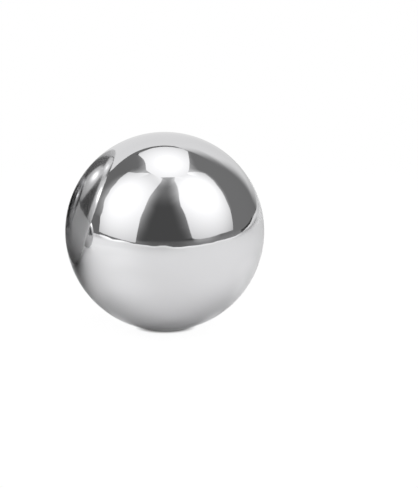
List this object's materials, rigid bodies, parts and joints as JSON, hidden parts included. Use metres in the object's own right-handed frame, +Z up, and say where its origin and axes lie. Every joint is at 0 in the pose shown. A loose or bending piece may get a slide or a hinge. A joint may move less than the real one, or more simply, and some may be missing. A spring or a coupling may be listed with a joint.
{
  "type": "steel ball",
  "caption": "Solid mirror-polished steel ball with a plain, seamless surface, for use on a bench or desk.",
  "frame": {"origin": "centre of the ball", "axes": "+Z up when the ball sits on its seat; the ball is the same about every axis, so +X and +Y are free choices and +Y points away from the viewer"},
  "size_m": [0.06, 0.06, 0.06],
  "materials": {
    "polished_steel": "polished"
  },
  "bodies": {
    "root": {"ball": "polished_steel"}
  },
  "joints": []
}
